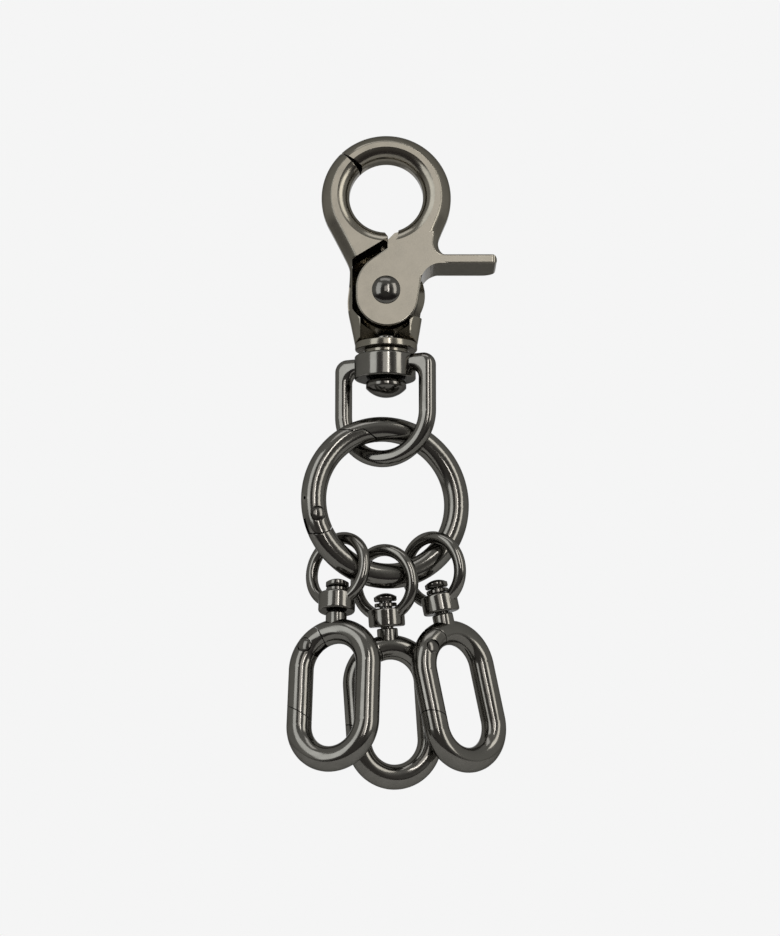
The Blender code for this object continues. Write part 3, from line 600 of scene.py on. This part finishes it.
def leverPlate(under, top):
    over = (lever["armShoulder"] + lever["upperFillet"], top + lever["upperFillet"])
    crown = snap["eyeRise"] - snap["boreRadius"]
    low, middle, high = lever["nose"]
    outline = arcPoints(lever["roundCentre"], lever["roundRadius"], *lever["roundSpan"], 60) + under
    outline += arcPoints(over, lever["upperFillet"], 270, 180, 18)
    outline += [(lever["armShoulder"] + seam, crown), (high[0], crown), middle, low]
    outline += arcPoints(lever["shoulderCentre"], lever["shoulderRadius"], *lever["shoulderSpan"], 24)
    plate = plateMesh([outline], -halfDepth, -seam / 2, lever["plateRounding"], 5)
    return carve(plate, [
        ("DIFFERENCE", rodMesh(snap["rivetBore"], -eyeReach, eyeReach, 48, True)),
        ("DIFFERENCE", rodMesh(snap["coilRoom"], -seam, lever["coilFront"], 64, True)),
    ])


def triggerLever():
    bottom = lever["tabBottom"]
    top = bottom + lever["tabThickness"]
    side = smoothPoints(list(lever["armSide"]), 3)
    low, middle, high = lever["nose"]
    blank = arcPoints(eyeCentre, eyeOuter, lever["eyeStart"], lever["eyeEnd"], 120)
    blank += [polarPoint(eyeOuter, lever["noseAngle"], eyeCentre), (low[0], lever["blankBottom"]),
              (lever["blankReach"], lever["blankBottom"]), (lever["blankReach"], side[-1][1])]
    blank += list(reversed(side))
    seamEnd = mouthEnd(-snap["mouthGap"])
    left = -eyeReach - overrun
    room = [eyeCentre, seamEnd, (left, seamEnd[1]), (left, 0), (snap["webCorner"] + fineSeam, 0)]
    web = -snap["webCorner"]
    nose = [(web, low[1])] + [(across + flush, up) for across, up in lever["nose"]] + [(web, high[1])]
    fillet = lever["underFillet"]
    under = arcPoints((lever["armEdge"] + fillet, bottom - fillet), fillet, 180, 90, 22)
    right = lever["clearReach"]
    below = under + [(right, bottom), (right, -eyeReach), (lever["armEdge"], -eyeReach)]
    beyond = boxPoints(lever["tabRoot"], right, -overrun / 2, side[-1][1] + overrun / 2)
    atArm, atRoot, atTop, atBack = lever["shelfEnds"]
    shelf = boxPoints(lever["armEdge"] - atArm, lever["tabRoot"] - atRoot, lever["shelfLow"], top - atTop)
    hub = rodMesh(snap["discRadius"] + seam, -lever["tabBack"] - overrun, seam / 2 + flush, 128, True)
    cuts = [
        ("DIFFERENCE", rodMesh(snap["coilRoom"] + flush, -seam, lever["coilFront"] + flush, 64, True)),
        ("DIFFERENCE", through(room)),
        ("DIFFERENCE", through(snap["notch"], overrun / 2)),
        ("DIFFERENCE", mouthWedge()),
        ("DIFFERENCE", plateMesh([nose], -eyeReach, -seam / 2 - flush)),
        ("UNION", plateMesh([shelf], lever["shelfFront"], lever["tabBack"] - atBack)),
        ("DIFFERENCE", through(below)),
        ("DIFFERENCE", through(beyond)),
        ("UNION", fingerTab(bottom, top)),
        ("DIFFERENCE", hub),
        ("UNION", leverPlate(under, top)),
        ("DIFFERENCE", eyeHole()),
    ]
    mesh = carve(castBlank(blank), cuts, lever["edge"])
    place("triggerLeverCasting", mesh, "polishedFace", "lever", "trigger_lever", atPivot, castingSmooth, True)


rivet = {
    "radius": 1.6, "domeRadius": 2.95, "domeHeight": 1.2,
    "back": ((2.6, 0), (2.45, 0.45), (2.1, 0.7), (0, 0.7)),         # radius and height of its rear head
}
spring = {"coilRadius": 3.1, "wire": 0.6, "turns": 2, "perTurn": 36, "pitch": 1.0, "leg": 2.6, "start": 0.45}


def leverRivet():
    front = halfDepth + seam
    profile = domeProfile(rivet["domeRadius"], rivet["domeHeight"], front)
    profile += [(rivet["radius"], front), (rivet["radius"], -front)]
    profile += [(radius, -front - height) for radius, height in rivet["back"]]
    mesh = turnedMesh(profile, 72, True)
    place("leverRivetHead", mesh, "darkRivet", "snap", "lever_rivet", atPivot, turnedSmooth)


def leverSpring():
    radius = spring["coilRadius"]
    points = [(-radius - spring["leg"], spring["start"], 0)]
    for n in range(spring["turns"] * spring["perTurn"] + 1):
        turns = n / spring["perTurn"]
        angle = pi - 2 * pi * turns
        points.append((radius * cos(angle), spring["start"] - spring["pitch"] * turns, radius * sin(angle)))
    across, depth, up = points[-1]
    points.append((across, depth, up + spring["leg"] / 2))
    mesh = wireMesh(points, spring["wire"] / 2, 4)
    place("leverSpringCoil", mesh, "springWire", "snap", "lever_spring", atPivot)


pin = {
    "radius": 2.0, "crownRadius": 2.7, "crownTop": 2.2, "crownHeight": 0.8, "crownSide": 0.25,
    "headRadius": 4.2, "headSide": 1.5, "headDome": 1.9, "headCorner": 0.3,
}
bail = {
    "collarRadius": 6.4, "collarHeight": 5.0, "collarRounding": 0.45, "play": 0.5,
    "halfWidth": 9.6, "bar": 3.5, "rounding": 1.6, "drop": 12.0, "outerCorner": 2.6, "innerCorner": 1.7,
    "turn": -25.0, "shift": -0.2, "edge": 0.2,
}
collarTop = snap["flangeBottom"] - snap["seatHeight"] - seam
collarBottom = collarTop - bail["collarHeight"]


def swivelPin():
    top = collarBottom - seam
    low = snap["recess"][2] + seam
    corner = pin["headCorner"]
    profile = [(0, low + pin["crownHeight"]), (pin["crownTop"], low + pin["crownHeight"]),
               (pin["crownRadius"], low + pin["crownSide"]), (pin["crownRadius"], low), (pin["radius"], low),
               (pin["radius"], top), (pin["headRadius"] - corner, top), (pin["headRadius"], top - corner)]
    profile += mirrored(domeProfile(pin["headRadius"], pin["headDome"], pin["headSide"] - top))
    place("swivelPinHead", turnedMesh(profile, 80), "darkRivet", "snap", "swivel_pin", atPivot, turnedSmooth)


def bailOutline(half, top, corner, cornerSteps):
    outline = arcPoints((half - corner, top - corner), corner, 0, 90, cornerSteps)
    outline += arcPoints((corner - half, top - corner), corner, 90, 180, cornerSteps)
    return outline + arcPoints((0, -bail["drop"]), half, 180, 360, 80)


def swivelBail():
    half = bail["bar"] / 2
    outer = bailOutline(bail["halfWidth"] + half, 0, bail["outerCorner"], 14)
    inner = bailOutline(bail["halfWidth"] - half, -bail["bar"], bail["innerCorner"], 12)
    loop = plateMesh([outer, inner], -half, half, bail["rounding"], 7)
    radius = bail["collarRadius"]
    height = bail["collarHeight"]
    barrel = roundedProfile([(0, 0), (radius, 0), (radius, -height), (0, -height)], bail["collarRounding"], 6)
    bore = rodMesh(pin["radius"] + bail["play"], -height - overrun, overrun, 56)
    mesh = carve(loop, [("UNION", turnedMesh(barrel, 112)), ("DIFFERENCE", bore)], bail["edge"], angle=45)
    turn = Matrix.Rotation(radians(bail["turn"]), 4, "Z")
    where = atPivot @ Matrix.Translation((bail["shift"], 0, collarTop)) @ turn
    place("swivelBailLoop", mesh, "gunmetalPlating", "bail", "swivel_bail", where)


clevis = {
    "tongueHalf": 0.6, "tongueRadius": 1.8, "slotHalf": 0.9, "rivetRadius": 0.7, "rivetHead": 1.4,
    "rivetDome": 0.35, "rivetSink": 0.7, "rivetProud": 0.05, "edge": 0.14,
}
# each gate's outline: its nose, the inside, an arc round the pivot and the outside; its nose leans in depth
ringGate = {
    "pivot": (-14.937, -3.312), "reach": 4.0, "hingeArc": (372.5, 192.5),
    "nose": ((-12.5, 14.9), (-7.4, 13.7), (-5.6, 14.2), (-0.6, 11.7)), "noseSide": (0.2, 0.98),
    "inner": ((-9.0, -2.0),), "outer": ((-22.5, -4.98), (-22.5, 14.9)),
    "tongueAngle": 290.0, "tongueLength": 5.5, "gap": 0.24, "lean": 0.12,
}
ovalGate = {
    "pivot": (-5.861, 10.379), "reach": 4.0, "hingeArc": (-38.6, 141.4),
    "nose": ((-12.5, -0.7), (-3.6, -5.3)), "noseSide": (-0.46, -0.89),
    "inner": ((-3.6, 5.8), (-1.42, 6.91)), "outer": ((-13.4, 16.27),),
    "tongueAngle": 38.0, "tongueLength": 5.2, "gap": 0.18, "lean": 0.2,
}


def gateOutline(shape, gap):
    side = Vector(shape["noseSide"]).normalized() * gap
    nose = [(across + side.x, up + side.y) for across, up in shape["nose"]]
    start, end = shape["hingeArc"]
    hinge = arcPoints(shape["pivot"], shape["reach"] + gap, start, end, 44)
    return nose + list(shape["inner"]) + hinge + list(shape["outer"])


def gateForm(shape, gap, half):
    # the gate's room, whose nose leans in depth so that the backdrop doesn't show through the seam
    outline = gateOutline(shape, gap)
    nose = outline[:len(shape["nose"])]
    form = plateMesh([outline], -half, half)
    for point in form.vertices:
        if any(abs(point.co.x - across) + abs(point.co.z - up) < tiny for across, up in nose):
            point.co.z -= point.co.y * shape["lean"]
    return form


def tongueOutline(shape, radius, length, spread):
    angle = shape["tongueAngle"]
    across, up = shape["pivot"]
    along = polarPoint(length, angle)
    aside = polarPoint(spread, angle + 90)
    outline = [(across + along[0] + aside[0], up + along[1] + aside[1]), (across + aside[0], up + aside[1])]
    outline += arcPoints(shape["pivot"], radius, angle + 90, angle + 270, 26)
    return outline + [(across - aside[0], up - aside[1]),
                      (across + along[0] - aside[0], up + along[1] - aside[1])]


def gatePair(label, names, bodies, tube, shape, bar, where, frameExtras=(), gateExtras=()):
    # splits one bar into its frame with a tongue and its gate with a slot, and rivets them
    frameNode, gateNode, rivetNode = names
    frameBody, gateBody = bodies
    half = bar / 2 + overrun
    seat = bar / 2 - clevis["rivetSink"]
    atRivet = Matrix.Translation((shape["pivot"][0], 0, shape["pivot"][1]))

    def bore(radius, low, high, steps):
        mesh = rodMesh(radius, low, high, steps, True)
        mesh.transform(atRivet)
        return ("DIFFERENCE", mesh)

    radius = clevis["tongueRadius"]
    tongue = plateMesh([tongueOutline(shape, radius, shape["tongueLength"], radius)],
                       -clevis["tongueHalf"], clevis["tongueHalf"])
    cuts = [("DIFFERENCE", gateForm(shape, shape["gap"], half)), ("UNION", tongue),
            bore(clevis["rivetRadius"] + seam, -half, half, 32)]
    mesh = carve(tube.copy(), cuts + list(frameExtras), clevis["edge"])
    place(label + "Frame", mesh, "gunmetalPlating", frameBody, frameNode, where)

    slot = plateMesh([tongueOutline(shape, radius + seam, bar, bar)], -clevis["slotHalf"], clevis["slotHalf"])
    cuts = [("INTERSECT", gateForm(shape, 0, half)), ("DIFFERENCE", slot),
            bore(clevis["rivetRadius"] + seam, -half, half, 32)]
    headRoom = clevis["rivetHead"] + seam / 2
    cuts += [bore(headRoom, seat, half, 48), bore(headRoom, -half, -seat, 48)]
    mesh = carve(tube.copy(), cuts + list(gateExtras), clevis["edge"])
    place(label + "Gate", mesh, "gunmetalPlating", gateBody, gateNode, where)

    dome = clevis["rivetDome"]
    upper = domeProfile(clevis["rivetHead"], dome, bar / 2 + clevis["rivetProud"] - dome, 8)
    upper += [(clevis["rivetHead"], seat + seam), (clevis["rivetRadius"], seat + seam)]
    mesh = turnedMesh(upper + mirrored(upper), 48, True)
    place(label + "GateRivet", mesh, "darkRivet", frameBody, rivetNode, where @ atRivet, turnedSmooth)


def closedBar(outline, bar, sides):
    return wireMesh([(across, 0, up) for across, up in outline], bar / 2, sides, closed=True)


largeRing = {
    "radius": 15.3, "bar": 5.2, "centre": (-0.1, 0, -72.6), "turn": 16.0,
    "pinhole": 0.32, "pinholeDepth": 1.3, "pinholeTurn": 30.0,
}


def largeRingSet():
    tube = closedBar(arcPoints((0, 0), largeRing["radius"], 0, 360, 200)[:-1], largeRing["bar"], 14)
    where = Matrix.Translation(largeRing["centre"]) @ Matrix.Rotation(radians(largeRing["turn"]), 4, "Z")
    half = largeRing["bar"] / 2
    pinhole = rodMesh(largeRing["pinhole"], half - largeRing["pinholeDepth"], half + overrun / 2, 24)
    turn = Matrix.Rotation(radians(largeRing["pinholeTurn"]), 4, "Z") @ Matrix.Rotation(-pi / 2, 4, "Y")
    pinhole.transform(Matrix.Translation((-largeRing["radius"], 0, 0)) @ turn)
    gatePair("largeRing", ("ring_frame", "ring_gate", "ring_gate_rivet"), ("ring", "gate"), tube, ringGate,
             largeRing["bar"], where, (), [("DIFFERENCE", pinhole)])


link = {
    "radius": 6.8, "bar": 2.5, "collarRadius": 3.75, "collarTop": 5.2, "collarHeight": 3.8,
    "collarRounding": 0.5, "edge": 0.12,
}
post = {
    "radius": 1.3, "headRadius": 2.35, "headSide": 0.95, "headDome": 0.8, "headCorner": 0.2, "reach": 2.9,
    "washerRadius": 2.3, "washerThickness": 0.8, "washerCorner": 0.15,
}
oval = {
    "halfWidth": 7.5, "halfStraight": 5.7, "bar": 5.1,
    "neckRadius": 2.15, "neckLength": 1.3, "neckRounding": 0.35,
}
hangers = {   # middle of the link ring, lean to the side, lean back, turn of the link, turn of the hook
    "left": ((-9.847, -1.538, -86.84), 1.5, -11.0, -37.0, -25.0),
    "middle": ((-0.387, 0.601, -89.299), -3.8, 4.2, -32.8, 15.0),
    "right": ((9.66, 1.352, -86.544), -11.5, 0.0, -38.1, 37.0),
}
washerLow = -link["collarTop"] + seam
headLow = washerLow + post["washerThickness"] + seam
linkLow = -link["collarTop"] - link["collarHeight"]
neckTop = linkLow - seam
ovalTop = neckTop - oval["neckLength"]
ovalMiddle = ovalTop - oval["bar"] / 2 - oval["halfWidth"] - oval["halfStraight"]


def linkRing(side, where):
    tube = closedBar(arcPoints((0, 0), link["radius"], 0, 360, 120)[:-1], link["bar"], 10)
    radius = link["collarRadius"]
    high = -link["collarTop"]
    collar = [(0, high), (radius, high), (radius, linkLow), (0, linkLow)]
    collar = turnedMesh(roundedProfile(collar, link["collarRounding"], 6), 80)
    bore = rodMesh(post["radius"] + seam, linkLow - overrun, headLow, 40)
    mesh = carve(tube, [("UNION", collar), ("DIFFERENCE", bore)], link["edge"], angle=45)
    place(side + "LinkRing", mesh, "gunmetalPlating", side + "_link", side + "_link_ring", where)


def swivelPost(side, where):
    inner = post["radius"] + seam
    outer = post["washerRadius"]
    corner = post["washerCorner"]
    top = washerLow + post["washerThickness"]
    washer = [(inner, top), (outer - corner, top), (outer, top - corner), (outer, washerLow + corner),
              (outer - corner, washerLow), (inner, washerLow), (inner, top)]
    place(side + "WasherDisc", turnedMesh(washer, 64), "darkRivet", side + "_hook", side + "_washer", where)
    foot = neckTop - post["reach"]
    head = post["headRadius"]
    corner = post["headCorner"]
    profile = domeProfile(head, post["headDome"], headLow + post["headSide"], 12)
    profile += [(head, headLow + corner), (head - corner, headLow), (post["radius"], headLow),
                (post["radius"], foot), (0, foot)]
    mesh = turnedMesh(profile, 56)
    place(side + "PostHead", mesh, "darkRivet", side + "_hook", side + "_post", where, turnedSmooth)


def ovalHook(side, where):
    outline = arcPoints((0, oval["halfStraight"]), oval["halfWidth"], 0, 180, 60)
    outline += arcPoints((0, -oval["halfStraight"]), oval["halfWidth"], 180, 360, 60)
    tube = closedBar(outline, oval["bar"], 14)
    low = ovalTop - oval["bar"] / 2
    radius = oval["neckRadius"]
    neck = turnedMesh(roundedProfile([(0, neckTop), (radius, neckTop), (radius, low), (0, low)],
                                     oval["neckRounding"]), 56)
    bore = rodMesh(post["radius"] + seam, neckTop - post["reach"] - seam, neckTop + seam, 40)
    for tool in (neck, bore):
        tool.transform(Matrix.Translation((0, 0, -ovalMiddle)))
    names = (side + "_hook_frame", side + "_hook_gate", side + "_gate_rivet")
    gatePair(side + "Hook", names, (side + "_hook", side + "_gate"), tube, ovalGate, oval["bar"],
             where @ Matrix.Translation((0, 0, ovalMiddle)), [("UNION", neck), ("DIFFERENCE", bore)])


def buildHangers():
    for side, (centre, leanSide, leanBack, linkTurn, hookTurn) in hangers.items():
        unit = Matrix.Translation(centre) @ Matrix.Rotation(radians(leanSide), 4, "Y") @ Matrix.Rotation(
            radians(leanBack), 4, "X")
        linkRing(side, unit @ Matrix.Rotation(radians(linkTurn), 4, "Z"))
        hookPlace = unit @ Matrix.Rotation(radians(hookTurn), 4, "Z")
        swivelPost(side, hookPlace)
        ovalHook(side, hookPlace)
        print("hanger ready:", side)


snapBody()
triggerLever()
leverRivet()
leverSpring()
print("trigger snap ready")
swivelPin()
swivelBail()
largeRingSet()
print("bail and large ring ready")
buildHangers()


studio = {
    "backdropGrey": 0.913, "backdropBack": 1.3, "backdropWide": 0.5, "backdropHigh": 0.9,
    "floorDrop": 0.21, "floorGrey": 0.80, "floorWide": 0.5, "floorFront": 0.12,
    "backdropGrain": (0.985, 40.0), "floorGrain": (0.97, 60.0),     # shade and scale of the papers' fibres
    # the air's tones from straight below to straight above, and the darker part in front of the object
    "air": ((0.30, (0.05, 0.045, 0.045)), (0.50, (0.34, 0.34, 0.32)), (0.9, (0.30, 0.30, 0.285))),
    "airFront": (0.10, 0.095, 0.09), "frontFrom": -0.72, "frontTo": -0.88,
    "target": (0.0008, 0.0, -0.06541), "distance": 0.5, "elevation": -10.0, "focal": 2420, "imageHeight": 936,
}
lamps = {
    # degrees to the right of the front, degrees up, distance, width, height, brightness, colour
    "frontPanel": (0, 14, 0.9, 0.26, 0.46, 1.1, (1.0, 0.98, 0.94)),
    "stripPanel": (12, 16, 0.9, 0.07, 0.7, 7.0, (1.0, 0.98, 0.95)),
    "leftPanel": (-45, 18, 0.8, 0.36, 0.9, 1.25, (0.97, 1.0, 1.0)),
    "rightPanel": (52, 18, 0.8, 0.25, 0.8, 2.0, (1.0, 0.98, 0.92)),
    "topPanel": (-10, 72, 0.7, 0.5, 0.20, 1.0, (1.0, 1.0, 1.0)),
}


def plainPaper(name, grey, shade, grain):
    paper, tree, shader = newMaterial(name, {"Roughness": 0.9})
    fibre = addNode(tree, "ShaderNodeTexNoise", {"Scale": grain})
    darker = grey * shade
    tone = addNode(tree, "ShaderNodeMix", {"A": (darker, darker, darker, 1), "B": (grey, grey, grey, 1)},
                   data_type="RGBA")
    tree.links.new(fibre.outputs["Fac"], tone.inputs["Factor"])
    tree.links.new(tone.outputs["Result"], shader.inputs["Base Color"])
    return paper


def glowingPaper(name, grey, shade, grain):
    # paper that the camera and reflections see evenly lit
    paper = plainPaper(name, grey, shade, grain)
    tree = paper.node_tree
    glow = addNode(tree, "ShaderNodeEmission", {"Color": (grey, grey, grey, 1)})
    rays = addNode(tree, "ShaderNodeLightPath")
    seen = addNode(tree, "ShaderNodeMath", operation="MAXIMUM")
    seenAll = addNode(tree, "ShaderNodeMath", operation="MAXIMUM")
    mix = addNode(tree, "ShaderNodeMixShader")
    link = tree.links.new
    link(rays.outputs["Is Camera Ray"], seen.inputs[0])
    link(rays.outputs["Is Glossy Ray"], seen.inputs[1])
    link(seen.outputs[0], seenAll.inputs[0])
    link(rays.outputs["Is Transmission Ray"], seenAll.inputs[1])
    link(seenAll.outputs[0], mix.inputs["Fac"])
    link(tree.nodes["Principled BSDF"].outputs["BSDF"], mix.inputs[1])
    link(glow.outputs["Emission"], mix.inputs[2])
    link(mix.outputs["Shader"], tree.nodes["Material Output"].inputs["Surface"])
    return paper


def sheetOf(name, corners, paper):
    mesh = bpy.data.meshes.new(name)
    mesh.from_pydata(corners, [], [(0, 1, 2, 3)])
    mesh.materials.append(paper)
    sheet = bpy.data.objects.new(name, mesh)
    scene.collection.objects.link(sheet)


def buildStage():
    low = -studio["floorDrop"]
    far = studio["backdropBack"]
    wide = studio["backdropWide"]
    top = low + studio["backdropHigh"]
    near = -studio["floorFront"]
    sheetOf("studioBackdrop", [(-wide, far, low), (wide, far, low), (wide, far, top), (-wide, far, top)],
            glowingPaper("backdropPaper", studio["backdropGrey"], *studio["backdropGrain"]))
    wide = studio["floorWide"]
    sheetOf("studioFloor", [(-wide, near, low), (wide, near, low), (wide, far, low), (-wide, far, low)],
            plainPaper("floorPaper", studio["floorGrey"], *studio["floorGrain"]))


def buildLamps():
    aim = Vector(studio["target"])
    for name, (turn, rise, distance, wide, high, brightness, tint) in lamps.items():
        light = bpy.data.lights.new(name, "AREA")
        light.shape = "RECTANGLE"
        light.size = wide
        light.size_y = high
        light.energy = brightness * pi * wide * high
        light.color = tint
        lamp = bpy.data.objects.new(name, light)
        scene.collection.objects.link(lamp)
        turned = radians(turn)
        raised = radians(rise)
        way = Vector((sin(turned) * cos(raised), -cos(turned) * cos(raised), sin(raised)))
        lamp.location = aim + way * distance
        lamp.rotation_euler = way.to_track_quat("Z", "Y").to_euler()


def buildWorld():
    world = bpy.data.worlds.new("studioAir")
    world.use_nodes = True
    tree = world.node_tree
    where = addNode(tree, "ShaderNodeTexCoord")
    split = addNode(tree, "ShaderNodeSeparateXYZ")
    height = addNode(tree, "ShaderNodeMapRange", {"From Min": -1.0})
    ramp = addNode(tree, "ShaderNodeValToRGB")
    steps = ramp.color_ramp.elements
    steps.new(0.5)
    for step, (position, colour) in zip(steps, studio["air"]):
        step.position = position
        step.color = (*colour, 1)
    edges = {"From Min": studio["frontFrom"], "From Max": studio["frontTo"]}
    front = addNode(tree, "ShaderNodeMapRange", edges)
    mixed = addNode(tree, "ShaderNodeMix", {"B": (*studio["airFront"], 1)}, data_type="RGBA")
    link = tree.links.new
    link(where.outputs["Generated"], split.inputs["Vector"])
    link(split.outputs["Z"], height.inputs["Value"])
    link(height.outputs["Result"], ramp.inputs["Fac"])
    link(split.outputs["Y"], front.inputs["Value"])
    link(front.outputs["Result"], mixed.inputs["Factor"])
    link(ramp.outputs["Color"], mixed.inputs["A"])
    link(mixed.outputs["Result"], tree.nodes["Background"].inputs["Color"])
    scene.world = world


def buildCamera():
    tilt = radians(studio["elevation"])
    target = Vector(studio["target"])
    back = Vector((0, -cos(tilt), sin(tilt))) * studio["distance"]
    lens = bpy.data.cameras.new("photoCamera")
    lens.sensor_fit = "VERTICAL"
    lens.sensor_height = 24.0
    lens.lens = studio["focal"] / studio["imageHeight"] * lens.sensor_height
    lens.clip_start = 0.01
    camera = bpy.data.objects.new("photoCamera", lens)
    scene.collection.objects.link(camera)
    camera.location = target + back
    camera.rotation_euler = (-back).to_track_quat("-Z", "Y").to_euler()
    scene.camera = camera


buildStage()
buildLamps()
buildWorld()
buildCamera()
scene.view_settings.view_transform = "Standard"
print("studio ready")
